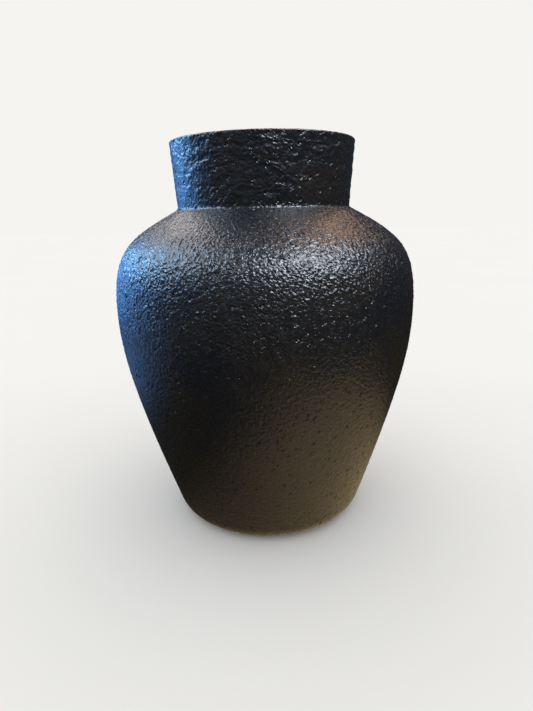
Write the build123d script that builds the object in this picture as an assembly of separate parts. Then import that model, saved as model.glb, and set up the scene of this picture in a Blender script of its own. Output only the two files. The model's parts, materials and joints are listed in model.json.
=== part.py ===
"""A round black clay pot with a flared collar, as the clay members that it is raised from.

A base dish carries six wall courses, one on the other, and a collar that is shaped apart and
luted on. A thin coil of clay is pressed into the corner round the collar's foot. Every joint is
bevelled: it runs inwards and down, so that each member laps the inside of the one below it.

Millimetres, +Z up. The origin is the middle of the foot, on the surface that the pot stands on.
"""

import os
from math import atan2, tan

from build123d import *

# Outside of the pot
pot_height = 250.0
belly_radius = 98.85
foot_radius = 63.6  # where the straight of the lower wall, drawn on, meets the floor
foot_corner_radius = 16.0
collar_height = 40.3
collar_foot_radius = 55.8
rim_radius = 58.8
rim_rounding = 1.8

# Up and down from the belly's widest line
shoulder_height = 62.0  # up to the collar's foot
shoulder_corner_rise = 38.8  # up to where the neck's slope, drawn on, stands over the belly
wall_corner_drop = 38.2  # down to where the lower wall, drawn on, stands under the belly

# How far each curve of the wall swells into its corner, from 0, flat, to 1
lower_wall_fullness = 0.80
belly_fullness = 0.98
neck_fullness = 0.764

# Thickness of the clay
wall = 7.0
collar_wall = 7.0
floor_thickness = 9.0
inside_corner_radius = 9.0

# Members and their joints
base_dish_lip = 13.5  # what the base dish carries of the wall, above the foot's corner
bevel_angle = 25.0  # of each wall joint, down from square to the wall
seam_coil_leg = 3.5  # how far the seam coil's hollow face runs up the collar and down the shoulder
seam_coil_root = 2.5  # how deep it fills the notch cut in the corner
wall_course_names = [
    "foot_course",
    "lower_wall_course",
    "middle_wall_course",
    "belly_course",
    "shoulder_course",
    "upper_shoulder_course",
]

neck_height = pot_height - collar_height
belly_height = neck_height - shoulder_height


def point(radius, height):
    """A point of the section, which is drawn in the XZ plane and spun about Z."""
    return Vector(radius, 0, height)


def crossing(start_a, along_a, start_b, along_b):
    """Where two lines of the section cross."""
    across = along_a.X * along_b.Z - along_a.Z * along_b.X
    gap = start_b - start_a
    return start_a + along_a * ((gap.X * along_b.Z - gap.Z * along_b.X) / across)


def square_in(along):
    """The inward normal of a line that runs up the outside of the wall."""
    return Vector(-along.Z, 0, along.X).normalized()


# The straight lines that frame the outside: up from the foot, up the belly, in to the neck
foot_point = point(foot_radius, 0)
wall_corner = point(belly_radius, belly_height - wall_corner_drop)
shoulder_corner = point(belly_radius, belly_height + shoulder_corner_rise)
neck_point = point(collar_foot_radius, neck_height)
rim_point = point(rim_radius, pot_height)
up_wall = (wall_corner - foot_point).normalized()
up_belly = Vector(0, 0, 1)
up_shoulder = (neck_point - shoulder_corner).normalized()
up_collar = (rim_point - neck_point).normalized()
outwards = Vector(1, 0, 0)

# The inside corner of the neck, where the bore meets the underside of the shoulder
bore_foot = crossing(
    neck_point + square_in(up_collar) * collar_wall,
    up_collar,
    neck_point + square_in(up_shoulder) * wall,
    up_shoulder,
)


def body_curves(inset, floor_height, corner_radius, neck_end):
    """The body's floor line, foot corner, lower wall and shoulder, inset from the outside."""
    floor_start = point(0, floor_height)
    belly = point(belly_radius - inset, belly_height)
    wall_start = foot_point + square_in(up_wall) * inset
    shoulder_end = neck_point + square_in(up_shoulder) * inset
    foot = crossing(wall_start, up_wall, floor_start, outwards)
    low_corner = crossing(wall_start, up_wall, belly, up_belly)
    high_corner = crossing(shoulder_end, up_shoulder, belly, up_belly)

    turn = atan2(up_wall.Z, up_wall.X)
    tangent_length = corner_radius * tan(turn / 2)
    corner_start = foot - outwards * tangent_length
    corner_end = foot + up_wall * tangent_length

    floor = Line(floor_start, corner_start)
    corner = TangentArc(corner_start, corner_end, tangent=outwards)
    lower_wall = Bezier(
        corner_end,
        corner_end + (low_corner - corner_end) * lower_wall_fullness,
        belly + (low_corner - belly) * lower_wall_fullness,
        belly,
    )
    shoulder = Bezier(
        belly,
        belly + (high_corner - belly) * belly_fullness,
        neck_end + (high_corner - neck_end) * neck_fullness,
        neck_end,
    )
    return floor, corner, lower_wall, shoulder


outside = body_curves(0, 0, foot_corner_radius, neck_point)
inside = body_curves(wall, floor_thickness, inside_corner_radius, bore_foot)
outside_wall = Wire(outside[2:])


def body_section():
    """Half of the body's floor and wall, cut through the axis."""
    axis_line = Line(inside[0] @ 0, outside[0] @ 0)
    neck_joint = Line(neck_point, bore_foot)
    return make_face([*outside, neck_joint, *inside, axis_line])


def wall_place(run):
    """The point of the outside wall, and the way up it, at a run from the foot's corner."""
    place = outside_wall.position_at(run, position_mode=PositionMode.LENGTH)
    upwards = outside_wall.tangent_at(run, position_mode=PositionMode.LENGTH)
    return place, upwards


def above_joint(run):
    """The part of the section above the bevelled joint at a run up the outside wall."""
    place, upwards = wall_place(run)
    inwards = square_in(upwards).rotate(Axis.Y, -bevel_angle)
    inner = place + inwards * 2 * wall
    outer = place - inwards * 2 * wall
    beyond = outer.X + belly_radius
    region = [
        inner,
        outer,
        point(beyond, outer.Z),
        point(beyond, pot_height),
        point(0, pot_height),
        point(0, inner.Z),
    ]
    return make_face(Polyline(region, close=True))


def body_members():
    """The base dish and the wall courses, parted at joints evenly spaced up the wall."""
    course_run = (outside_wall.length - base_dish_lip) / len(wall_course_names)
    members = {}
    rest = body_section()
    for order, name in reversed(list(enumerate(wall_course_names))):
        above = above_joint(base_dish_lip + order * course_run)
        members[name] = rest & above
        rest = rest - above
    members["base_dish"] = rest
    return members


def collar():
    """The flared collar, with a bevelled foot and a rounded rim."""
    rim_inside = crossing(bore_foot, up_collar, rim_point, outwards)
    blank = make_face(Polyline([neck_point, rim_point, rim_inside, bore_foot], close=True))
    rim_corners = blank.vertices().sort_by(Axis.Z)[-2:]
    return fillet(rim_corners, min(rim_rounding, 0.45 * collar_wall))


def seam_notch():
    """The corners of the notch cut for the seam coil: down the shoulder, in the joint, up the collar."""
    on_shoulder, _ = wall_place(outside_wall.length - seam_coil_leg)
    root = neck_point + (bore_foot - neck_point).normalized() * seam_coil_root
    on_collar = neck_point + up_collar * seam_coil_leg
    return on_shoulder, root, on_collar


def seam_coil():
    """The coil pressed into its notch, with a hollow face from the collar to the shoulder."""
    on_shoulder, root, on_collar = seam_notch()
    hollow_face = TangentArc(on_collar, on_shoulder, tangent=-up_collar)
    return make_face([hollow_face, Polyline([on_shoulder, root, on_collar])])


sections = body_members()
sections["neck_collar"] = collar()
notch = make_face(Polyline([*seam_notch()], close=True))
for notched in ("upper_shoulder_course", "neck_collar"):
    sections[notched] = sections[notched] - notch
sections["neck_seam_coil"] = seam_coil()

os.makedirs("parts", exist_ok=True)
for name, section in sections.items():
    member = revolve(section, Axis.Z, 360)
    export_step(member, f"parts/{name}.step")
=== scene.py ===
"""A black clay pot with a flared collar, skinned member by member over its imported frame.

The pot is raised from a base dish, six coil courses and a collar, with a coil pressed into the
corner round the collar's foot. Each member is spun from its own section, and one relief covers
them all, so that the hand-worked surface runs on across the joints as it does on scraped clay.
Metres, +Z up, origin in the middle of the foot.
"""

import json
from bisect import bisect_left
from math import atan2, cos, pi, radians, sin, tan

import bpy
import numpy as np
from mathutils import Matrix, Vector
from mathutils.geometry import interpolate_bezier, intersect_line_line_2d

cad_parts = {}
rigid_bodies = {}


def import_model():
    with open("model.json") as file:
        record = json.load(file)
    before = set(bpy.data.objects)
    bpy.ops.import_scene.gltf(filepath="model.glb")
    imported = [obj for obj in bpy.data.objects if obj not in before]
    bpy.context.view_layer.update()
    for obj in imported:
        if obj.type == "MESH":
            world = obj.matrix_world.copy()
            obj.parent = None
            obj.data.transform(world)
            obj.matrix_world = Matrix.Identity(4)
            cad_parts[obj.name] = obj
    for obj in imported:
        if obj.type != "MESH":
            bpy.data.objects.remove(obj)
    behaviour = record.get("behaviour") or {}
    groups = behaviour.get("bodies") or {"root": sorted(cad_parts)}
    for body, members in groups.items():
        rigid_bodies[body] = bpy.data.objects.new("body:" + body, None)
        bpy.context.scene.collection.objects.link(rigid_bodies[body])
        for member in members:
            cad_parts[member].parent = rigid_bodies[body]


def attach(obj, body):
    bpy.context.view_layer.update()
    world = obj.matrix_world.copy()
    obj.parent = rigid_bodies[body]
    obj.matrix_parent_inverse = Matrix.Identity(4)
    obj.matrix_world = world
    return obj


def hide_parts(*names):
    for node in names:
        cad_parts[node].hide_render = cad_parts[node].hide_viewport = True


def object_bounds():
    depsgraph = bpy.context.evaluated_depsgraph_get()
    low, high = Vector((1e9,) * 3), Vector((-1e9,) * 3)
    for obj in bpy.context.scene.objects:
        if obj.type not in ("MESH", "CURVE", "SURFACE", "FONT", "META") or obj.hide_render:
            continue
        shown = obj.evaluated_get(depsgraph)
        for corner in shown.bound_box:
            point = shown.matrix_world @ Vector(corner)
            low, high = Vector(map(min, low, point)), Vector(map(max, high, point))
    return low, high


bl_info = {
    "name": "Black Clay Pot",
    "version": (1, 0, 0),
    "blender": (4, 5, 0),
    "location": "View3D > Sidebar > Clay Pot",
    "description": "Builds a coil-built black clay pot with a pitted, satin surface",
    "category": "Add Mesh",
}

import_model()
CAD_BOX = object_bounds()
MM = 0.001
COURSES = (
    "foot_course",
    "lower_wall_course",
    "middle_wall_course",
    "belly_course",
    "shoulder_course",
    "upper_shoulder_course",
)
BLACK_CLAY = ("Reduced black clay", "black_clay")  # each clay's material and its slot
SEAM_CLAY = ("Wiped black clay", "seam_clay")

# What each vertex of a skin carries: the way that the relief faces, the relief's height, and how
# far along its line of the section the vertex lies. A line runs over one unit, and a gap over the
# next, so that a member's outside is 0 to 1, its top joint 1 to 2 and its inside 2 to 3.
RELIEF_NORMAL = "relief_normal"
RELIEF_HEIGHT = "relief_height"
ALONG = "along"
ROOT = 1.5  # the number along, in the root of a joint that closes through one
JOINT_SPAN = 0.4  # a face that reaches over more than this lies in a joint

FLAT_ROW = 26 * MM  # one row of the cage on the flat of the foot and of the floor
POLE_HOLE = 2 * MM  # radius of the hole left at the axis until the relief is on
COIL_CORNER = 1.4 * MM  # reach of the seam coil's hollow corner up the collar and down the shoulder
COIL_STEPS = 4  # runs round that corner
DRAG_SLOPE = 0.8  # rise over run of the marks that the scraper dragged
FACING_STEP = 0.12 * MM  # how far to each side the relief is read for the way that it faces

# The map used for baking lies in strips, one for each part of a turn. Over the width of a strip
# go the outside, the top joint, the inside and the bottom joint, whose ends are here.
BAKE_MAP = "OFBake"
MAP_STRIPS = 4
MAP_BANDS = (0, 0.62, 0.66, 0.94, 0.98)
MAP_MARGIN = 0.01


def linear(hex_colour):
    """The linear red, green, blue and alpha of an sRGB hex colour."""
    channels = [int(hex_colour[i : i + 2], 16) / 255 for i in (1, 3, 5)]
    return tuple(
        part / 12.92 if part <= 0.04045 else ((part + 0.055) / 1.055) ** 2.4 for part in channels
    ) + (1.0,)


def length_property(name, millimetres, description):
    """A length setting, given in millimetres and held in metres."""
    return bpy.props.FloatProperty(
        name=name, description=description, default=millimetres * MM, unit="LENGTH", precision=5
    )


def colour_property(name, hex_colour, description):
    """A colour setting, given as sRGB hex and held as linear."""
    return bpy.props.FloatVectorProperty(
        name=name, description=description, default=linear(hex_colour), size=4, subtype="COLOR"
    )


class PotSizes(bpy.types.PropertyGroup):
    """The pot's section."""

    pot_height: bpy.props.FloatProperty(
        name="Height", description="Foot to rim", default=CAD_BOX[1].z, unit="LENGTH"
    )
    belly_radius: bpy.props.FloatProperty(
        name="Belly radius",
        description="Outside radius at the widest line",
        default=CAD_BOX[1].x,
        unit="LENGTH",
    )
    foot_radius: length_property(
        "Foot radius", 63.6, "Where the lower wall, drawn on, meets the floor"
    )
    foot_corner: length_property("Foot corner", 16.0, "Radius of the rounded corner of the foot")
    collar_height: length_property("Collar height", 40.3, "Collar's foot to rim, on the outside")
    collar_foot_radius: length_property(
        "Collar foot radius", 55.8, "Outside radius where the collar starts"
    )
    rim_radius: length_property("Rim radius", 58.8, "Outside radius at the rim")
    rim_rounding: length_property("Rim rounding", 0.8, "Radius of the rim's two edges")
    shoulder_height: length_property(
        "Shoulder height", 62.0, "Widest line up to the collar's foot"
    )
    shoulder_corner_rise: length_property(
        "Shoulder corner rise", 38.8, "Widest line up to where the neck's slope is over the belly"
    )
    wall_corner_drop: length_property(
        "Wall corner drop", 38.2, "Widest line down to where the lower wall stands under the belly"
    )
    wall: length_property("Wall", 7.0, "Thickness of the wall and of the collar")
    floor: length_property("Floor", 9.0, "Thickness of the floor")
    inside_corner: length_property("Inside corner", 9.0, "Radius of the corner round the floor")
    base_lip: length_property(
        "Base lip", 13.5, "Wall that the base dish carries above the foot's corner"
    )
    bevel: bpy.props.FloatProperty(
        name="Joint bevel",
        description="Each joint's slope, down from square to the wall",
        default=radians(25.0),
        subtype="ANGLE",
    )
    coil_leg: length_property(
        "Seam coil leg", 3.5, "Reach of the seam coil up the collar and down the shoulder"
    )
    coil_root: length_property("Seam coil root", 2.5, "Depth of the seam coil's notch")


class PotRelief(bpy.types.PropertyGroup):
    """The hand-worked surface."""

    row_height: length_property("Row height", 2.1, "Height of one row of the cage, on the outside")
    inner_row: length_property(
        "Inner row height", 11.5, "Height of one row of the cage, on the inside"
    )
    columns: bpy.props.IntProperty(
        name="Columns", description="Columns of the cage round the body", default=256, min=32
    )
    collar_columns: bpy.props.IntProperty(
        name="Collar columns",
        description="Columns of the cage round the collar",
        default=176,
        min=32,
    )
    fineness: bpy.props.IntProperty(
        name="Fineness", description="Times that each cage is subdivided", default=2, min=0, max=3
    )
    pebble_size: length_property("Pebble size", 1.9, "Crest to crest of the pebbled skin")
    pebble_depth: length_property(
        "Pebble depth", 0.42, "Crest to crease of the pebbled skin, on the belly"
    )
    lump_size: length_property("Lump size", 5.0, "Crest to crest of the collar's lumps")
    lump_depth: length_property("Lump depth", 0.65, "Crest to hollow of the collar's lumps")
    pit_spacing: length_property("Pit spacing", 4.6, "Mean distance between pits")
    pit_radius: length_property("Pit radius", 0.85, "Radius of the widest pits")
    pit_depth: length_property("Pit depth", 0.75, "Depth of the deepest pits")
    waver_size: length_property("Waver size", 55.0, "Length of the slow wavering left by the hand")
    waver_depth: length_property("Waver depth", 0.5, "Depth of that wavering")


class PotColours(bpy.types.PropertyGroup):
    """The colours of the clay and of the stage."""

    clay: colour_property("Clay", "#0D0E11", "Reduced black clay")
    clay_warm: colour_property("Clay, warm", "#14120F", "Where the smoke burned a little thinner")
    # Pit: painted shade, the colour that pits and hollows are darkened towards by their depth
    pit_shade: colour_property("Pit", "#070606", "Soot held in pits and hollows")
    floor: colour_property("Floor", "#F8F7F4", "Pale floor")


# ---------------------------------------------------------------- the section


class Line:
    """A run of points of the section, as (radius, height), measured along its length."""

    def __init__(self, points):
        self.points = points
        self.runs = [0.0]
        for start, end in zip(points, points[1:]):
            self.runs.append(self.runs[-1] + (end - start).length)
        self.length = self.runs[-1]

    def at(self, run):
        """The point at a run, and the way along the line there."""
        place = min(max(bisect_left(self.runs, run), 1), len(self.points) - 1)
        start, end = self.points[place - 1], self.points[place]
        share = (run - self.runs[place - 1]) / (self.runs[place] - self.runs[place - 1])
        return start.lerp(end, share), (end - start).normalized()

    def between(self, first, last, spacing):
        """Evenly spaced points from one run to another, about a spacing apart."""
        count = max(1, round(abs(last - first) / spacing))
        return [self.at(first + (last - first) * step / count)[0] for step in range(count + 1)]

    def meets(self, point, along):
        """The run at which the line crosses a straight line through a point."""
        reach = along.normalized() * 0.03
        for place, (start, end) in enumerate(zip(self.points, self.points[1:])):
            met = intersect_line_line_2d(start, end, point - reach, point + reach)
            if met:
                return self.runs[place] + (met - start).length
        raise ValueError("the joint misses the inside of the wall")


def crossing(start_a, along_a, start_b, along_b):
    """Where two straight lines of the section cross."""
    gap = start_b - start_a
    across = along_a.x * along_b.y - along_a.y * along_b.x
    return start_a + along_a * ((gap.x * along_b.y - gap.y * along_b.x) / across)


def inwards(along):
    """Square to a line that runs up the outside, towards the axis."""
    return Vector((-along.y, along.x)).normalized()


def turned(along, angle):
    """A direction of the section turned anticlockwise."""
    return Vector(
        (along.x * cos(angle) - along.y * sin(angle), along.x * sin(angle) + along.y * cos(angle))
    )


def arc(start, way, end, end_way, radius, steps=24):
    """A round corner from one direction to another."""
    turn = (atan2(end_way.y, end_way.x) - atan2(way.y, way.x)) % (2 * pi)
    centre = start + inwards(way) * radius
    return [centre + turned(start - centre, turn * step / steps) for step in range(steps)] + [end]


class Section:
    """The whole pot's section, worked out from its sizes."""

    # How far each curve of the wall swells into its corner, from 0, flat, to 1
    FULLNESS = {"wall": 0.80, "belly": 0.98, "neck": 0.764}
    CURVE_STEPS = 240
    RIM_STEPS = 4

    def __init__(self, sizes):
        self.sizes = sizes
        neck_height = sizes.pot_height - sizes.collar_height
        belly_height = neck_height - sizes.shoulder_height
        self.neck = Vector((sizes.collar_foot_radius, neck_height))
        self.rim = Vector((sizes.rim_radius, sizes.pot_height))
        self.foot = Vector((sizes.foot_radius, 0))
        self.belly = Vector((sizes.belly_radius, belly_height))
        wall_corner = self.belly - Vector((0, sizes.wall_corner_drop))
        shoulder_corner = self.belly + Vector((0, sizes.shoulder_corner_rise))
        self.up_wall = (wall_corner - self.foot).normalized()
        self.up_belly = Vector((0, 1))
        self.up_shoulder = (self.neck - shoulder_corner).normalized()
        self.up_collar = (self.rim - self.neck).normalized()
        self.bore_foot = crossing(
            self.neck + inwards(self.up_collar) * sizes.wall,
            self.up_collar,
            self.neck + inwards(self.up_shoulder) * sizes.wall,
            self.up_shoulder,
        )
        self.foot_flat, self.outside = self.body_lines(0, 0, sizes.foot_corner, self.neck)
        self.floor, self.inside = self.body_lines(
            sizes.wall, sizes.floor, sizes.inside_corner, self.bore_foot
        )
        self.corner_run = sizes.foot_corner * atan2(self.up_wall.y, self.up_wall.x)

    def body_lines(self, inset, floor_height, corner_radius, neck_end):
        """The flat of the foot or floor, and the wall above it from its corner to the neck."""
        belly = self.belly - Vector((inset, 0))
        wall_start = self.foot + inwards(self.up_wall) * inset
        shoulder_end = self.neck + inwards(self.up_shoulder) * inset
        foot = crossing(wall_start, self.up_wall, Vector((0, floor_height)), Vector((1, 0)))
        low_corner = crossing(wall_start, self.up_wall, belly, self.up_belly)
        high_corner = crossing(shoulder_end, self.up_shoulder, belly, self.up_belly)
        reach = corner_radius * tan(atan2(self.up_wall.y, self.up_wall.x) / 2)
        flat_end = foot - Vector((reach, 0))
        corner_end = foot + self.up_wall * reach
        corner = arc(flat_end, Vector((1, 0)), corner_end, self.up_wall, corner_radius)
        wall = interpolate_bezier(
            corner_end,
            corner_end.lerp(low_corner, self.FULLNESS["wall"]),
            belly.lerp(low_corner, self.FULLNESS["wall"]),
            belly,
            self.CURVE_STEPS,
        )
        shoulder = interpolate_bezier(
            belly,
            belly.lerp(high_corner, self.FULLNESS["belly"]),
            neck_end.lerp(high_corner, self.FULLNESS["neck"]),
            neck_end,
            self.CURVE_STEPS,
        )
        flat = Line([Vector((0, floor_height)), flat_end])
        return flat, Line(corner[:-1] + wall[:-1] + shoulder)

    def joint(self, order):
        """The outside and inside runs of the joint under a course."""
        first = self.corner_run + self.sizes.base_lip
        outer = first + (self.outside.length - first) * order / len(COURSES)
        place, upwards = self.outside.at(outer)
        across = turned(inwards(upwards), self.sizes.bevel)
        return outer, self.inside.meets(place, across)

    def notch(self):
        """The seam coil's corners: on the shoulder, in the joint and on the collar."""
        on_shoulder = self.outside.at(self.outside.length - self.sizes.coil_leg)[0]
        root = self.neck + (self.bore_foot - self.neck).normalized() * self.sizes.coil_root
        on_collar = self.neck + self.up_collar * self.sizes.coil_leg
        return on_shoulder, root, on_collar

    def collar_line(self, on_collar, outer_spacing, inner_spacing):
        """From the seam coil up the collar, over the rim's two rounded edges and down the bore."""
        rounding, up = self.sizes.rim_rounding, self.up_collar
        inner_rim = crossing(self.bore_foot, up, self.rim, Vector((1, 0)))
        lean = atan2(up.y, up.x)
        outer_reach = rounding * tan((pi - lean) / 2)
        inner_reach = rounding * tan(lean / 2)
        outer_end = self.rim - up * outer_reach
        inner_end = inner_rim - up * inner_reach
        level_in = Vector((-1, 0))
        outer_top = self.rim - Vector((outer_reach, 0))
        inner_top = inner_rim + Vector((inner_reach, 0))
        outer_edge = arc(outer_end, up, outer_top, level_in, rounding, self.RIM_STEPS)
        inner_edge = arc(inner_top, level_in, inner_end, -up, rounding, self.RIM_STEPS)
        outer = Line([on_collar, outer_end])
        outer = outer.between(0, outer.length, outer_spacing)
        bore = Line([inner_end, self.bore_foot])
        bore = bore.between(0, bore.length, inner_spacing)
        top = outer_top.lerp(inner_top, 0.5)
        return outer[:-1] + outer_edge + [top] + inner_edge + bore[1:]

    def coil_line(self, on_shoulder, on_collar):
        """The seam coil's face, wiped along the shoulder, round the corner and up the collar."""
        start = self.neck + (on_shoulder - self.neck).normalized() * COIL_CORNER
        end = self.neck + self.up_collar * COIL_CORNER
        corner = []
        for step in range(COIL_STEPS + 1):
            share = step / COIL_STEPS
            corner.append(start.lerp(self.neck, share).lerp(self.neck.lerp(end, share), share))
        down_shoulder = [on_shoulder, on_shoulder.lerp(start, 0.5)]
        return down_shoulder + corner + [end.lerp(on_collar, 0.5), on_collar]


# ---------------------------------------------------------------- modelling


def deselect_all():
    """Leaves nothing selected, so that an operator acts only on what is added next."""
    if bpy.context.object and bpy.context.object.mode != "OBJECT":
        bpy.ops.object.mode_set(mode="OBJECT")
    bpy.ops.object.select_all(action="DESELECT")


def spin_lines(name, lines, columns):
    """One mesh of open skins, each spun from a line of the section about the pot's axis."""
    skins = []
    for order, points in enumerate(lines):
        deselect_all()
        bpy.ops.mesh.primitive_plane_add(size=MM)
        bpy.ops.object.mode_set(mode="EDIT")
        bpy.ops.mesh.select_mode(type="VERT")
        bpy.ops.mesh.merge(type="CENTER")
        bpy.ops.transform.translate(value=(points[0].x, 0, points[0].y))
        for start, end in zip(points, points[1:]):
            step = (end.x - start.x, 0, end.y - start.y)
            bpy.ops.mesh.extrude_vertices_move(TRANSFORM_OT_translate={"value": step})
        bpy.ops.mesh.select_all(action="SELECT")
        bpy.ops.mesh.spin(steps=columns, angle=2 * pi, center=(0, 0, 0), axis=(0, 0, 1))
        bpy.ops.mesh.select_all(action="SELECT")
        bpy.ops.mesh.remove_doubles(threshold=0.02 * MM)
        bpy.ops.object.mode_set(mode="OBJECT")
        skins.append(bpy.context.object)
        number_rows(skins[-1], points, 2 * order)
    deselect_all()
    for skin in skins:
        skin.select_set(True)
    bpy.context.view_layer.objects.active = skins[0]
    if len(skins) > 1:
        bpy.ops.object.join()
    skins[0].name = skins[0].data.name = name
    return skins[0]


# ---------------------------------------------------------------- nodes


MATHS = "ShaderNodeMath"
VECTORS = "ShaderNodeVectorMath"
SPLIT = "ShaderNodeSeparateXYZ"
RAMP = "ShaderNodeMapRange"
NOISE = "ShaderNodeTexNoise"
CELLS = "ShaderNodeTexVoronoi"
SMOOTH = "SMOOTHSTEP"


def add_node(tree, kind, inputs=(), out=0, **settings):
    """Adds a node with its settings and links, and gives one of its outputs.

    Each input is a value or another node's output, in order or under its name or number.
    """
    node = tree.nodes.new(kind)
    for name, value in settings.items():
        setattr(node, name, value)
    for pin, value in inputs.items() if isinstance(inputs, dict) else enumerate(inputs):
        if isinstance(value, bpy.types.NodeSocket):
            tree.links.new(value, node.inputs[pin])
        else:
            node.inputs[pin].default_value = value
    return node.outputs[out] if node.outputs else node


def work_bands(tree, sizes, height):
    """How strongly the clay is worked at a height: the collar most, the lower wall least."""
    neck = sizes.pot_height - sizes.collar_height
    belly = neck - sizes.shoulder_height
    band = [height, neck + 1.5 * MM, neck + 9 * MM]
    on_collar = add_node(tree, RAMP, band, interpolation_type=SMOOTH)
    band = [height, 0.69 * belly, 1.09 * belly, 0.54, 1.0]
    on_wall = add_node(tree, RAMP, band, interpolation_type=SMOOTH)
    band = [height, neck - 26 * MM, neck - 3 * MM, 1.0, 0.66]
    near_neck = add_node(tree, RAMP, band, interpolation_type=SMOOTH)
    on_body = add_node(tree, MATHS, [on_wall, near_neck], operation="MULTIPLY")
    return on_collar, on_body


def pebbles(tree, relief, place, on_collar, on_body):
    """Rounded crests parted by creases, with finer grain on them, a little softer on the collar."""
    pattern = {"Vector": place, "Scale": 1 / (1.6 * relief.pebble_size), "Detail": 1.5}
    folds = add_node(tree, NOISE, pattern | {"Distortion": 0.25})
    crest = add_node(tree, MATHS, [folds, 2.0, -1.0], operation="MULTIPLY_ADD")
    crest = add_node(tree, MATHS, [crest], operation="ABSOLUTE")
    crest = add_node(tree, MATHS, [crest, 2.2], operation="MULTIPLY")
    crest = add_node(tree, MATHS, [crest, 0.75], operation="POWER")
    pattern = {"Vector": place, "Scale": 1 / (0.62 * relief.pebble_size), "Detail": 1.0}
    grain = add_node(tree, NOISE, pattern)
    height = add_node(tree, MATHS, [grain, 0.9, crest], operation="MULTIPLY_ADD")
    height = add_node(tree, MATHS, [height, 1.0], operation="SUBTRACT")
    height = add_node(tree, MATHS, [height, relief.pebble_depth], operation="MULTIPLY")
    work = add_node(tree, MATHS, [on_collar, -0.16, on_body], operation="MULTIPLY_ADD")
    return add_node(tree, MATHS, [height, work], operation="MULTIPLY")


def lumps(tree, relief, place, on_collar, on_body):
    """Lumps and level folds that the hands left on the collar, and faintly on the body."""
    levelled = add_node(tree, VECTORS, [place, (1, 1, 2.1)], operation="MULTIPLY")
    pattern = {"Vector": levelled, "Scale": 1 / (1.7 * relief.lump_size), "Detail": 1.5}
    height = add_node(tree, NOISE, pattern | {"Roughness": 0.55, "Distortion": 0.5})
    height = add_node(tree, MATHS, [height, 0.5], operation="SUBTRACT")
    height = add_node(tree, MATHS, [height, 1.6 * relief.lump_depth], operation="MULTIPLY")
    work = add_node(tree, MATHS, [on_body, 0.16, on_collar], operation="MULTIPLY_ADD")
    return add_node(tree, MATHS, [height, work], operation="MULTIPLY")


def pits(tree, relief, place, level, on_collar, on_body):
    """Depth of the pits where grit was dragged out, wide ones and narrower ones.

    Only some cells hold one, so they are scattered. Each is the deeper of two round pits, set
    apart along the scraper's slant.
    """
    round_way = add_node(tree, VECTORS, [(0, 0, 1), level], operation="CROSS_PRODUCT")
    drag_way = add_node(tree, VECTORS, [round_way, (0, 0, DRAG_SLOPE)], operation="ADD")
    wide_work = add_node(tree, MATHS, [on_collar, 0.5, on_body], operation="MULTIPLY_ADD")
    rim = relief.pit_radius / relief.pit_spacing
    depth = None
    for size, empty, work in ((1.0, 0.42, wide_work), (0.75, 0.38, 1.0)):
        for side_step in (-0.6, 0.6):
            shift = {0: drag_way, "Scale": side_step * size * relief.pit_radius}
            shift = add_node(tree, VECTORS, shift, operation="SCALE")
            at = add_node(tree, VECTORS, [place, shift], operation="ADD")
            pattern = {"Vector": at, "Scale": 1 / (size * relief.pit_spacing)}
            distance = add_node(tree, CELLS, pattern, "Distance")
            chance = add_node(tree, SPLIT, [distance.node.outputs["Color"]])
            opened = add_node(tree, RAMP, [chance, empty, empty + 0.35], interpolation_type=SMOOTH)
            crater = add_node(tree, RAMP, [distance, rim, 0.3 * rim], interpolation_type=SMOOTH)
            for factor in (opened, work, size * relief.pit_depth):
                crater = add_node(tree, MATHS, [crater, factor], operation="MULTIPLY")
            if depth:
                crater = add_node(tree, MATHS, [depth, crater], operation="MAXIMUM")
            depth = crater
    return depth


def drag_marks(tree, place):
    """Fine marks of the scraper, rising to one side over the wall."""
    turned_place = {"Vector": place, "Angle": radians(38)}
    slanted = add_node(tree, "ShaderNodeVectorRotate", turned_place, rotation_type="Y_AXIS")
    slanted = add_node(tree, VECTORS, [slanted, (0.22, 1, 1)], operation="MULTIPLY")
    pattern = {"Vector": slanted, "Scale": 1 / (1.5 * MM), "Detail": 2.0, "Roughness": 0.6}
    height = add_node(tree, MATHS, [add_node(tree, NOISE, pattern), 0.5], operation="SUBTRACT")
    return add_node(tree, MATHS, [height, 0.16 * MM], operation="MULTIPLY")


def wavers(tree, relief, place):
    """The slow wavering of a wall raised by hand."""
    pattern = {"Vector": place, "Scale": 1 / relief.waver_size, "Detail": 0.0}
    height = add_node(tree, MATHS, [add_node(tree, NOISE, pattern), 0.5], operation="SUBTRACT")
    return add_node(tree, MATHS, [height, relief.waver_depth], operation="MULTIPLY")


def wiped_inside(tree, place):
    """The inside, wiped round with a wet hand."""
    wiped = add_node(tree, VECTORS, [place, (0.35, 0.35, 1)], operation="MULTIPLY")
    pattern = {"Vector": wiped, "Scale": 1 / (4 * MM), "Detail": 2.0, "Roughness": 0.55}
    height = add_node(tree, MATHS, [add_node(tree, NOISE, pattern), 0.5], operation="SUBTRACT")
    return add_node(tree, MATHS, [height, 0.7 * MM], operation="MULTIPLY")


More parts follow.
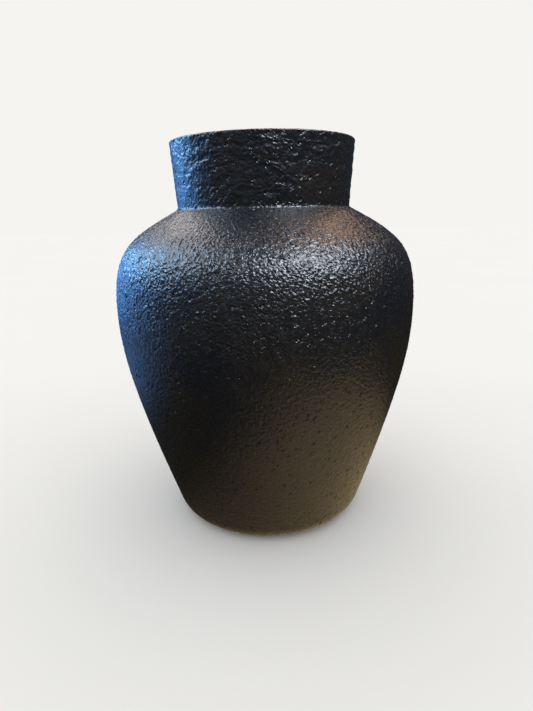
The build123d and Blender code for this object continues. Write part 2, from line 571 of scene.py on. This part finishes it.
def relief_group(sizes, relief):
    """Height of the clay's surface over its true section, for a place and the way that it faces."""
    tree = bpy.data.node_groups.new("Clay relief", "GeometryNodeTree")
    for name in ("Place", "Facing"):
        tree.interface.new_socket(name, in_out="INPUT", socket_type="NodeSocketVector")
    tree.interface.new_socket("Height", in_out="OUTPUT", socket_type="NodeSocketFloat")
    place = add_node(tree, "NodeGroupInput", out="Place")
    facing = place.node.outputs["Facing"]

    # The outside looks away from the axis and the inside towards it. Level faces stay plain
    level = add_node(tree, VECTORS, [place, (1, 1, 0)], operation="MULTIPLY")
    level = add_node(tree, VECTORS, [level], operation="NORMALIZE")
    side = add_node(tree, VECTORS, [level, facing], "Value", operation="DOT_PRODUCT")
    outer = add_node(tree, RAMP, [side, 0.05, 0.42], interpolation_type=SMOOTH)
    inner = add_node(tree, RAMP, [side, -0.05, -0.5], interpolation_type=SMOOTH)

    # Patterns drift a little, so that none is regular
    drift = add_node(tree, NOISE, {"Vector": place, "Scale": 1 / (14 * MM), "Detail": 1.0}, "Color")
    drift = add_node(tree, VECTORS, {0: drift, "Scale": 2.2 * MM}, operation="SCALE")
    drifted = add_node(tree, VECTORS, [place, drift], operation="ADD")

    work = work_bands(tree, sizes, add_node(tree, SPLIT, [place], "Z"))
    height = pebbles(tree, relief, drifted, *work)
    for part in (
        lumps(tree, relief, drifted, *work),
        drag_marks(tree, place),
        wavers(tree, relief, place),
    ):
        height = add_node(tree, MATHS, [height, part], operation="ADD")
    dug = pits(tree, relief, drifted, level, *work)
    height = add_node(tree, MATHS, [height, dug], operation="SUBTRACT")
    height = add_node(tree, MATHS, [height, outer], operation="MULTIPLY")
    inside = [wiped_inside(tree, place), inner, height]
    height = add_node(tree, MATHS, inside, operation="MULTIPLY_ADD")
    add_node(tree, "NodeGroupOutput", [height])
    return tree


def skin_group(relief_tree):
    """Raises a bare skin by the relief and keeps the relief's height and true facing on it."""
    tree = bpy.data.node_groups.new("Clay skin", "GeometryNodeTree")
    tree.interface.new_socket("Geometry", in_out="INPUT", socket_type="NodeSocketGeometry")
    tree.interface.new_socket("Geometry", in_out="OUTPUT", socket_type="NodeSocketGeometry")
    skin = add_node(tree, "NodeGroupInput")
    place = add_node(tree, "GeometryNodeInputPosition")
    facing = add_node(tree, "GeometryNodeInputNormal")
    round_way = add_node(tree, VECTORS, [(0, 0, 1), place], operation="CROSS_PRODUCT")
    round_way = add_node(tree, VECTORS, [round_way], operation="NORMALIZE")
    up_way = add_node(tree, VECTORS, [facing, round_way], operation="CROSS_PRODUCT")
    height = {"Place": place, "Facing": facing}
    height = add_node(tree, "GeometryNodeGroup", height, node_tree=relief_tree)
    true_facing = facing
    for way in (round_way, up_way):
        shift = add_node(tree, VECTORS, {0: way, "Scale": FACING_STEP}, operation="SCALE")
        beside = add_node(tree, VECTORS, [place, shift], operation="ADD")
        rise = {"Place": beside, "Facing": facing}
        rise = add_node(tree, "GeometryNodeGroup", rise, node_tree=relief_tree)
        rise = add_node(tree, MATHS, [rise, height], operation="SUBTRACT")
        rise = add_node(tree, MATHS, [rise, FACING_STEP], operation="DIVIDE")
        lean = add_node(tree, VECTORS, {0: way, "Scale": rise}, operation="SCALE")
        true_facing = add_node(tree, VECTORS, [true_facing, lean], operation="SUBTRACT")
    true_facing = add_node(tree, VECTORS, [true_facing], operation="NORMALIZE")
    carried = (RELIEF_NORMAL, true_facing, "FLOAT_VECTOR"), (RELIEF_HEIGHT, height, "FLOAT")
    for name, value, kind in carried:
        kept = {"Geometry": skin, "Name": name, "Value": value}
        skin = add_node(tree, "GeometryNodeStoreNamedAttribute", kept, data_type=kind)
    stored = {"Name": RELIEF_HEIGHT}
    stored = add_node(tree, "GeometryNodeInputNamedAttribute", stored, data_type="FLOAT")
    offset = add_node(tree, VECTORS, {0: facing, "Scale": stored}, operation="SCALE")
    skin = add_node(tree, "GeometryNodeSetPosition", {"Geometry": skin, "Offset": offset})
    add_node(tree, "NodeGroupOutput", [skin])
    return tree


# ---------------------------------------------------------------- the clay's skin


def raise_relief(piece, fineness):
    """Subdivides a spun cage and raises the clay's relief on it."""
    bpy.context.view_layer.objects.active = piece
    fine = piece.modifiers.new("Subdivision", "SUBSURF")
    fine.levels = fine.render_levels = fineness
    bpy.ops.object.modifier_apply(modifier=fine.name)
    skin = piece.modifiers.new("Clay skin", "NODES")
    skin.node_group = bpy.data.node_groups["Clay skin"]
    bpy.ops.object.modifier_apply(modifier=skin.name)


def read_all(items, field, width=1, kind=float):
    """One field of every item of a mesh, as a row each where it is wider than one number."""
    values = np.zeros(len(items) * width, dtype=kind)
    items.foreach_get(field, values)
    return values if width == 1 else values.reshape(-1, width)


def number_rows(skin, points, first):
    """Keeps on each vertex how far along its line it lies, counted on from a first number."""
    x, y, z = read_all(skin.data.vertices, "co", 3).T
    line = np.array([tuple(point) for point in points])
    gap = (np.hypot(x, y)[:, None] - line[:, 0]) ** 2 + (z[:, None] - line[:, 1]) ** 2
    rows = skin.data.attributes.new(ALONG, "FLOAT", "POINT")
    rows.data.foreach_set("value", first + gap.argmin(1) / (len(points) - 1))


def select_rims(piece, numbers):
    """Selects, in edit mode, the open rims whose rows have these numbers."""
    mesh = piece.data
    along = read_all(mesh.attributes[ALONG].data, "value")
    levels = along[read_all(mesh.edges, "vertices", 2, int)]
    faces_at = np.bincount(read_all(mesh.loops, "edge_index", 1, int), minlength=len(mesh.edges))
    chosen = np.zeros(len(mesh.edges), dtype=bool)
    for number in numbers:
        chosen |= (np.abs(levels - number) < 1e-3).all(1)
    bpy.ops.object.mode_set(mode="EDIT")
    bpy.ops.mesh.select_mode(type="EDGE")
    bpy.ops.mesh.select_all(action="DESELECT")
    bpy.ops.object.mode_set(mode="OBJECT")
    mesh.edges.foreach_set("select", chosen & (faces_at == 1))
    bpy.ops.object.mode_set(mode="EDIT")


def draw_to_root(piece, number, root):
    """Runs the face of a joint from an open rim to its root circle."""
    select_rims(piece, [number])
    mesh = piece.data
    bpy.ops.mesh.extrude_edges_move()
    bpy.ops.object.mode_set(mode="OBJECT")
    picked = read_all(mesh.vertices, "select", 1, bool)
    x, y, _ = read_all(mesh.vertices, "co", 3)[picked].T
    along = read_all(mesh.attributes[ALONG].data, "value")
    along[picked] = ROOT
    mesh.attributes[ALONG].data.foreach_set("value", along)
    bpy.ops.object.mode_set(mode="EDIT")
    share = root.x / np.hypot(x, y).mean()
    bpy.ops.transform.resize(value=(share, share, 0), center_override=(0, 0, 0))
    bpy.ops.transform.translate(value=(0, 0, root.y))
    bpy.ops.object.mode_set(mode="OBJECT")


def close_joint(piece, first, second, root=None):
    """Closes the joint between two open rims, through a root circle where the joint has one."""
    if root is not None:
        draw_to_root(piece, first, root)
        first = ROOT
    select_rims(piece, [first, second])
    bpy.ops.mesh.bridge_edge_loops()
    bpy.ops.object.mode_set(mode="OBJECT")


def close_pole(piece, number):
    """Closes the small round hole left at the axis."""
    select_rims(piece, [number])
    bpy.ops.mesh.extrude_edges_move()
    bpy.ops.mesh.merge(type="CENTER")
    bpy.ops.object.mode_set(mode="OBJECT")


def set_facing(mesh, vertex_at, in_joint, counts):
    """Turns each corner the way that its relief faces, and leaves the faces of the joints flat."""
    mesh.polygons.foreach_set("use_smooth", ~in_joint)
    normals = read_all(mesh.attributes[RELIEF_NORMAL].data, "vector", 3)[vertex_at]
    normals[np.repeat(in_joint, counts)] = 0
    mesh.normals_split_custom_set(normals)


def lay_out_map(mesh, vertex_at, along, closing, starts, counts):
    """Lays out the map used for baking: across it goes the way round, and up it the way along."""
    x, y = read_all(mesh.vertices, "co", 3)[vertex_at, :2].T
    middle_x, middle_y = (np.add.reduceat(way, starts) for way in (x, y))
    middle = np.repeat(np.arctan2(middle_y, middle_x), counts)
    turn = np.where(np.hypot(x, y) < MM / 10, middle, np.arctan2(y, x))
    turn = middle + (turn - middle + pi) % (2 * pi) - pi
    strip = np.floor((middle / (2 * pi) + 0.5) * MAP_STRIPS).clip(0, MAP_STRIPS - 1)
    along = np.where(closing & (along < 0.5), along + len(MAP_BANDS) - 1, along)
    across = np.interp(along, range(len(MAP_BANDS)), MAP_BANDS)
    u = MAP_MARGIN + (1 - 2 * MAP_MARGIN) * ((turn / (2 * pi) + 0.5) * MAP_STRIPS - strip)
    chart = np.stack([u, (strip + MAP_MARGIN + across) / MAP_STRIPS], 1)
    mesh.uv_layers.new(name=BAKE_MAP).uv.foreach_set("vector", chart.ravel())


def finish_skin(piece):
    """Gives a closed skin its true facing and its map, and drops what only the making needs."""
    mesh = piece.data
    vertex_at = read_all(mesh.loops, "vertex_index", 1, int)
    starts = read_all(mesh.polygons, "loop_start", 1, int)
    counts = read_all(mesh.polygons, "loop_total", 1, int)
    along = read_all(mesh.attributes[ALONG].data, "value")[vertex_at]
    low, high = np.minimum.reduceat(along, starts), np.maximum.reduceat(along, starts)
    set_facing(mesh, vertex_at, high - low > JOINT_SPAN, counts)
    closing = np.repeat((low < 0.5) & (high > ROOT - 0.1), counts)  # from the last run to the first
    lay_out_map(mesh, vertex_at, along, closing, starts, counts)
    mesh.attributes.remove(mesh.attributes[RELIEF_NORMAL])
    mesh.attributes.remove(mesh.attributes[ALONG])


def build_member(node, lines, columns, joints, clay, poles=()):
    """One closed member of the pot, spun from its lines, standing for its node of the frame."""
    material, slot = clay
    piece = spin_lines("clay_" + node, lines, columns)
    raise_relief(piece, bpy.context.scene.pot_relief.fineness)
    for joint in joints:
        close_joint(piece, *joint)
    for number in poles:
        close_pole(piece, number)
    finish_skin(piece)
    piece.data.materials.append(bpy.data.materials[material])
    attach(piece, "root")
    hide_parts(node)
    return piece


# ---------------------------------------------------------------- materials


SMOKE_SHADE = 40 * MM  # across a smoke shade
MOTTLE = 3 * MM
WIPED_MOTTLE = 5 * MM
GRIT = 0.8 * MM


def new_material(name):
    """A new material's nodes, its Principled BSDF, and the place on the piece for its patterns."""
    material = bpy.data.materials.new(name)
    material.use_nodes = True
    tree = material.node_tree
    shader = tree.nodes["Principled BSDF"]
    place = add_node(tree, "ShaderNodeTexCoord", out="Object")
    return tree, shader, place


def add_grit(tree, shader, place, depth):
    """Grit in the clay, finer than its mesh."""
    grit = add_node(tree, NOISE, {"Vector": place, "Scale": 1 / GRIT, "Detail": 2.0})
    grit = add_node(tree, MATHS, [grit, depth], operation="MULTIPLY")
    bump = add_node(tree, "ShaderNodeBump", {"Height": grit, "Distance": 1.0, "Strength": 1.0})
    tree.links.new(bump, shader.inputs["Normal"])


def make_black_clay(colours):
    """Barro negro, a low-fired clay blackened by smoke, scraped when leather-hard and unburnished.

    To the eye it is near black, cool with faintly warm patches, satin where the scraper closed the
    skin, painted darker in pits as their shade and duller there, and finely gritty all over.
    """
    tree, shader, place = new_material(BLACK_CLAY[0])
    height = add_node(tree, "ShaderNodeAttribute", out="Fac", attribute_name=RELIEF_HEIGHT)

    # The smoke's broad shades with a finer mottle, and painted shade in the pits, darker the deeper
    # they sink
    shade = add_node(tree, NOISE, {"Vector": place, "Scale": 1 / SMOKE_SHADE, "Detail": 2.0})
    shade = add_node(tree, RAMP, [shade, 0.38, 0.64], interpolation_type=SMOOTH)
    mottle = add_node(tree, NOISE, {"Vector": place, "Scale": 1 / MOTTLE, "Detail": 3.0})
    shade = add_node(tree, MATHS, [mottle, 0.5, shade], operation="MULTIPLY_ADD")
    shade = add_node(tree, MATHS, [shade, 0.25], operation="SUBTRACT", use_clamp=True)
    mix = {"Factor": shade, 6: tuple(colours.clay), 7: tuple(colours.clay_warm)}
    colour = add_node(tree, "ShaderNodeMix", mix, 2, data_type="RGBA")
    depth = add_node(tree, RAMP, [height, -0.12 * MM, -0.45 * MM], interpolation_type=SMOOTH)
    # Painted shade: the deeper the relief sinks, the nearer the colour goes to the pit colour
    mix = {"Factor": depth, 6: colour, 7: tuple(colours.pit_shade)}
    colour = add_node(tree, "ShaderNodeMix", mix, 2, data_type="RGBA")
    tree.links.new(colour, shader.inputs["Base Color"])

    # Satin on the crests that the scraper closed, dull down in the pits
    rough = add_node(tree, RAMP, [mottle, 0.3, 0.7, 0.22, 0.35], interpolation_type=SMOOTH)
    rough = add_node(tree, MATHS, [depth, 0.25, rough], operation="MULTIPLY_ADD")
    tree.links.new(rough, shader.inputs["Roughness"])
    add_grit(tree, shader, place, 0.09 * MM)


def make_seam_clay(colours):
    """The same clay as a soft coil, pressed in and wiped with a wet finger.

    Wiping brings up the finest clay, so it looks a little glossier than the wall.
    """
    tree, shader, place = new_material(SEAM_CLAY[0])
    mottle = add_node(tree, NOISE, {"Vector": place, "Scale": 1 / WIPED_MOTTLE, "Detail": 3.0})
    mix = {"Factor": mottle, 6: tuple(colours.clay), 7: tuple(colours.clay_warm)}
    colour = add_node(tree, "ShaderNodeMix", mix, 2, data_type="RGBA")
    tree.links.new(colour, shader.inputs["Base Color"])
    rough = add_node(tree, RAMP, [mottle, 0.3, 0.7, 0.20, 0.32])
    tree.links.new(rough, shader.inputs["Roughness"])
    add_grit(tree, shader, place, 0.10 * MM)


# ---------------------------------------------------------------- the stage


FLOOR_SIZE = 12.0
# The camera: focal length in millimetres, how far it looks down and leans to one side in radians,
# and how far off and how high it is held, as shares of the pot's height
CAMERA_LENS = 25.82
CAMERA_PITCH = 0.2742
CAMERA_ROLL = 0.0205
CAMERA_DISTANCE = 1.4048
CAMERA_RISE = 0.8286
WATTS_PER_RADIANCE = 4  # of a square metre of soft box
# Each soft box: name, azimuth from the front and elevation in degrees, then distance, width and
# height in metres, colour, and brightness as radiance
SOFT_BOXES = (
    ("window_box", -116, 3, 0.90, 0.76, 0.40, "#5EA6FF", 2.6),
    ("window_top_box", -112, 24, 0.90, 0.50, 0.28, "#8CC8FF", 11.5),
    ("left_top_box", -78, 45, 0.95, 0.54, 0.40, "#D8ECFF", 9.0),
    ("front_top_box", 41, 51, 0.95, 0.62, 0.42, "#E6F0FF", 17.0),
    ("right_top_box", 80, 38, 0.95, 0.26, 0.22, "#EEF3FF", 5.0),
    ("left_back_box", -152, 49, 0.95, 0.80, 0.46, "#FFF1E6", 3.4),
    ("warm_box", 149, 61, 0.95, 0.72, 0.56, "#FFD0B0", 3.3),
    ("back_top_box", 180, 66, 0.95, 0.40, 0.22, "#DCE6FF", 2.2),
)


def hang_soft_box(
    target, lit, name, azimuth, elevation, distance, width, height, colour, radiance
):
    """A soft box that faces the pot, lights only the lit pieces and is seen only in their gloss."""
    turn, rise = radians(azimuth), radians(elevation)
    away = Vector((sin(turn) * cos(rise), -cos(turn) * cos(rise), sin(rise)))
    deselect_all()
    bpy.ops.object.light_add(type="AREA", location=target + away * distance)
    box = bpy.context.object
    box.name = name
    box.rotation_euler = away.to_track_quat("Z", "Y").to_euler()
    box.data.shape = "RECTANGLE"
    box.data.size, box.data.size_y = width, height
    box.data.color = linear(colour)[:3]
    box.data.energy = radiance * WATTS_PER_RADIANCE * width * height
    box.visible_camera = False
    box.light_linking.receiver_collection = lit


def light_world(scene):
    """A pale room that lights the floor evenly, and is a dim blue one in the clay's gloss.

    The dim room is brightest on the left, and the camera sees the room in the floor's own colour.
    """
    world = bpy.data.worlds.new("Pale studio")
    scene.world = world
    world.use_nodes = True
    world.cycles.sampling_method = "NONE"
    tree = world.node_tree
    room = tree.nodes["Background"]
    room.inputs["Color"].default_value = linear("#FFFFFF")
    way = add_node(tree, "ShaderNodeTexCoord", out="Generated")
    way = add_node(tree, SPLIT, [way])
    from_left = add_node(tree, RAMP, [way, -0.8, 0.9, 1.0, 0.2], interpolation_type=SMOOTH)
    dim = {"Color": linear("#50709C"), "Strength": from_left}
    dim = add_node(tree, "ShaderNodeBackground", dim)
    gloss = add_node(tree, "ShaderNodeLightPath", out="Is Glossy Ray")
    mixed = add_node(tree, "ShaderNodeMixShader", [gloss, room.outputs[0], dim])
    wall = {"Color": tuple(scene.pot_colours.floor), "Strength": 0.97}
    wall = add_node(tree, "ShaderNodeBackground", wall)
    seen = gloss.node.outputs["Is Camera Ray"]
    mixed = add_node(tree, "ShaderNodeMixShader", [seen, mixed, wall])
    tree.links.new(mixed, tree.nodes["World Output"].inputs["Surface"])


# What the clay's gloss finds on the floor, as painted light: colour and middle of a glow, how far
# from there it starts and stops falling off, and its brightness inside and outside. The first is
# painted lamplight on the table to the right, the second is the window's light painted on it to
# the left.
PAINTED_TABLE_GLOWS = (
    ("#FFDFAA", (0.11, -0.10, 0), 0.03, 0.22, 0.92, 0.035),
    ("#78B0FF", (-0.46, 0.12, 0), 0.10, 0.32, 1.0, 0.0),
)


def make_floor_paint(colours):
    """Matt floor paint: pale, with a faint unevenness from the roller.

    In the clay's gloss it glows instead as a brown table with painted lamplight and window light,
    which falls into painted shade past the pot.
    """
    tree, shader, place = new_material("Matt floor paint")
    patch = add_node(tree, NOISE, {"Vector": place, "Scale": 4.0, "Detail": 2.0})
    darker = tuple(0.96 * channel for channel in colours.floor[:3]) + (1.0,)
    mix = {"Factor": patch, 6: tuple(colours.floor), 7: darker}
    paint = add_node(tree, "ShaderNodeMix", mix, 2, data_type="RGBA")
    tree.links.new(paint, shader.inputs["Base Color"])
    shader.inputs["Roughness"].default_value = 0.9
    shader.inputs["Specular IOR Level"].default_value = 0.0
    table = None
    # Painted light: each glow is an emission that only the clay's gloss sees, lamplight and window
    # light painted on the floor
    for colour, middle, near, far, inside, outside in PAINTED_TABLE_GLOWS:
        away = add_node(tree, VECTORS, [place, middle], "Value", operation="DISTANCE")
        band = [away, near, far, inside, outside]
        glow = add_node(tree, RAMP, band, interpolation_type=SMOOTH)
        glow = add_node(tree, "ShaderNodeEmission", {"Color": linear(colour), "Strength": glow})
        table = add_node(tree, "ShaderNodeAddShader", [table, glow]) if table else glow
    gloss = add_node(tree, "ShaderNodeLightPath", out="Is Glossy Ray")
    mixed = add_node(tree, "ShaderNodeMixShader", [gloss, shader.outputs[0], table])
    tree.links.new(mixed, tree.nodes["Material Output"].inputs["Surface"])
    return bpy.data.materials["Matt floor paint"]


def aim_camera(scene):
    """A hand-held view from just below the rim, close enough to stretch the pot a little."""
    height = scene.pot_sizes.pot_height
    lens = bpy.data.cameras.new("camera")
    camera = bpy.data.objects.new("camera", lens)
    scene.collection.objects.link(camera)
    lens.lens = CAMERA_LENS
    lens.clip_start = 0.01
    forward = Vector((0, cos(CAMERA_PITCH), -sin(CAMERA_PITCH)))
    right, up = Vector((1, 0, 0)), Vector((0, sin(CAMERA_PITCH), cos(CAMERA_PITCH)))
    across = cos(CAMERA_ROLL) * right - sin(CAMERA_ROLL) * up
    upright = sin(CAMERA_ROLL) * right + cos(CAMERA_ROLL) * up
    stand = Matrix.Translation((0, -CAMERA_DISTANCE * height, CAMERA_RISE * height))
    camera.matrix_world = stand @ Matrix((across, upright, -forward)).transposed().to_4x4()
    scene.camera = camera


# ---------------------------------------------------------------- operators


class POT_OT_clay(bpy.types.Operator):
    """Mixes the clay's materials and its relief"""

    bl_idname = "pot.clay"
    bl_label = "Clay"

    def execute(self, context):
        scene = context.scene
        skin_group(relief_group(scene.pot_sizes, scene.pot_relief))
        make_black_clay(scene.pot_colours)
        make_seam_clay(scene.pot_colours)
        return {"FINISHED"}


class POT_OT_base_dish(bpy.types.Operator):
    """Builds the dish that the pot stands on, with the first of its wall"""

    bl_idname = "pot.base_dish"
    bl_label = "Base dish"

    def execute(self, context):
        relief, section = context.scene.pot_relief, Section(context.scene.pot_sizes)
        outer, inner = section.joint(0)
        flat = section.foot_flat.between(POLE_HOLE, section.foot_flat.length, FLAT_ROW)
        wall = section.outside.between(0, outer, relief.row_height)
        inside = section.inside.between(inner, 0, 0.5 * relief.inner_row)
        floor = section.floor.between(section.floor.length, POLE_HOLE, FLAT_ROW)
        lines = [flat + wall[1:], inside + floor[1:]]
        build_member("base_dish", lines, relief.columns, [(1, 2)], BLACK_CLAY, poles=(0, 3))
        return {"FINISHED"}


class POT_OT_courses(bpy.types.Operator):
    """Builds the six coil courses of the wall and shoulder"""

    bl_idname = "pot.courses"
    bl_label = "Coil courses"

    def execute(self, context):
        relief, section = context.scene.pot_relief, Section(context.scene.pot_sizes)
        for order, node in enumerate(COURSES):
            low_outer, low_inner = section.joint(order)
            joints = [(1, 2), (3, 0)]
            if order + 1 < len(COURSES):
                top_outer, top_inner = section.joint(order + 1)
            else:  # the last course carries the collar and half of the seam coil's notch
                top_outer = section.outside.length - section.sizes.coil_leg
                top_inner = section.inside.length
                joints[0] += (section.notch()[1],)
            lines = [
                section.outside.between(low_outer, top_outer, relief.row_height),
                section.inside.between(top_inner, low_inner, relief.inner_row),
            ]
            build_member(node, lines, relief.columns, joints, BLACK_CLAY)
        return {"FINISHED"}


class POT_OT_collar(bpy.types.Operator):
    """Builds the flared collar with its two rounded rim edges"""

    bl_idname = "pot.collar"
    bl_label = "Collar"

    def execute(self, context):
        relief, section = context.scene.pot_relief, Section(context.scene.pot_sizes)
        root, on_collar = section.notch()[1:]
        line = section.collar_line(on_collar, relief.row_height, relief.inner_row)
        build_member("neck_collar", [line], relief.collar_columns, [(0, 1, root)], BLACK_CLAY)
        return {"FINISHED"}


class POT_OT_seam_coil(bpy.types.Operator):
    """Builds the coil pressed into the corner round the collar's foot"""

    bl_idname = "pot.seam_coil"
    bl_label = "Seam coil"

    def execute(self, context):
        relief, section = context.scene.pot_relief, Section(context.scene.pot_sizes)
        on_shoulder, root, on_collar = section.notch()
        line = section.coil_line(on_shoulder, on_collar)
        build_member("neck_seam_coil", [line], relief.columns, [(0, 1, root)], SEAM_CLAY)
        return {"FINISHED"}


class POT_OT_stage(bpy.types.Operator):
    """Lays the pale floor, hangs the soft boxes and sets up the camera"""

    bl_idname = "pot.stage"
    bl_label = "Stage"

    def execute(self, context):
        scene = context.scene
        deselect_all()
        bpy.ops.mesh.primitive_plane_add(size=FLOOR_SIZE)
        floor = context.object
        floor.name = "pale_floor"
        floor.data.materials.append(make_floor_paint(scene.pot_colours))
        light_world(scene)
        lit = bpy.data.collections.new("Lit clay")
        for piece in scene.objects:
            if piece.name.startswith("clay_"):
                lit.objects.link(piece)
        middle = Vector((0, 0, scene.pot_sizes.pot_height / 2))
        for box in SOFT_BOXES:
            hang_soft_box(middle, lit, *box)
        aim_camera(scene)
        scene.view_settings.view_transform = "Standard"
        return {"FINISHED"}


class POT_PT_panel(bpy.types.Panel):
    """Lists the pot's sizes, finish, colours and steps"""

    bl_idname = "POT_PT_panel"
    bl_label = "Black Clay Pot"
    bl_space_type = "VIEW_3D"
    bl_region_type = "UI"
    bl_category = "Clay Pot"

    def draw(self, context):
        scene = context.scene
        for group in (scene.pot_sizes, scene.pot_relief, scene.pot_colours):
            box = self.layout.box()
            for name in group.__annotations__:
                box.prop(group, name)
        for step in STEPS:
            self.layout.operator(step.bl_idname)


STEPS = (
    POT_OT_clay,
    POT_OT_base_dish,
    POT_OT_courses,
    POT_OT_collar,
    POT_OT_seam_coil,
    POT_OT_stage,
)
GROUPS = {"pot_sizes": PotSizes, "pot_relief": PotRelief, "pot_colours": PotColours}


def register():
    """Makes the settings, the steps and the panel known."""
    for kind in (*GROUPS.values(), *STEPS, POT_PT_panel):
        bpy.utils.register_class(kind)
    for name, kind in GROUPS.items():
        setattr(bpy.types.Scene, name, bpy.props.PointerProperty(type=kind))


def unregister():
    """Takes them away again."""
    for name in GROUPS:
        delattr(bpy.types.Scene, name)
    for kind in (POT_PT_panel, *reversed(STEPS), *reversed(GROUPS.values())):
        bpy.utils.unregister_class(kind)


def main():
    """Builds the pot step by step."""
    register()
    for step in STEPS:
        group, name = step.bl_idname.split(".")
        getattr(getattr(bpy.ops, group), name)()


if __name__ == "__main__":
    main()
